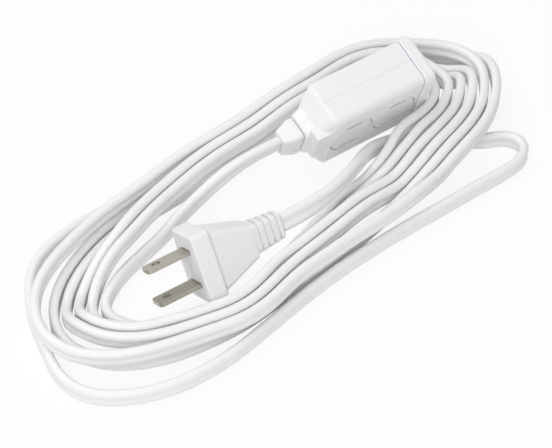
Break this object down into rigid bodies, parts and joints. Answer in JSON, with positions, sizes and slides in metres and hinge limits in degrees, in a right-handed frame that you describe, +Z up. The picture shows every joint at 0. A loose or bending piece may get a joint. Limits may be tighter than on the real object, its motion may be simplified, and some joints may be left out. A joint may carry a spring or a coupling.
{
  "type": "household extension cord",
  "caption": "Coiled flat white extension cord with a polarised two-blade plug at one end and a block-shaped outlet tap with turning outlet covers at the other.",
  "frame": {"origin": "on the surface it lies on, under the middle of the outlet tap", "axes": "+X along the outlet tap away from its cord, +Z up from the surface it lies on, and the tap's two-outlet face looks towards -Y"},
  "size_m": [0.2125, 0.0949, 0.0365],
  "materials": {
    "white_plastic": "satin white moulded plastic",
    "cover_plastic": "satin white moulded plastic, a little greyer",
    "white_vinyl": "soft white vinyl",
    "cord_jacket": "smooth white vinyl jacket",
    "bridge_plastic": "hidden moulded plastic",
    "wire_white": "hidden wire insulation",
    "blade_metal": "nickel-plated brass",
    "contact_brass": "plain rolled brass"
  },
  "bodies": {
    "cord_set": {"tap_front_shell": "white_plastic", "tap_back_shell": "white_plastic", "tap_end_cap": "white_plastic", "tap_strain_relief": "white_vinyl", "bus_line": "contact_brass", "bus_neutral": "contact_brass", "wire_tap_line": "wire_white", "wire_tap_neutral": "wire_white", "cord_tap_lead": "cord_jacket", "cord_coil": "cord_jacket", "cord_plug_lead": "cord_jacket", "wire_plug_line": "wire_white", "wire_plug_neutral": "wire_white", "plug_overmould": "white_vinyl", "plug_bridge": "bridge_plastic", "blade_line": "blade_metal", "blade_neutral": "blade_metal"},
    "cover_front_left": {"cover_front_left": "cover_plastic"},
    "cover_front_right": {"cover_front_right": "cover_plastic"},
    "cover_back": {"cover_back": "cover_plastic"}
  },
  "joints": [
    {"name": "cover_front_left_turn", "type": "hinge", "parent": "cord_set", "child": "cover_front_left", "pos_m": [-0.00435, 0, 0.01824], "axis": [0, -0.9588, -0.284], "range_deg": [0, 90]},
    {"name": "cover_front_right_turn", "type": "hinge", "parent": "cord_set", "child": "cover_front_right", "pos_m": [0.01495, 0, 0.01824], "axis": [0, -0.9588, -0.284], "range_deg": [0, 90]},
    {"name": "cover_back_turn", "type": "hinge", "parent": "cord_set", "child": "cover_back", "pos_m": [0.0053, 0, 0.01824], "axis": [0, 0.9588, 0.284], "range_deg": [0, 90]}
  ]
}
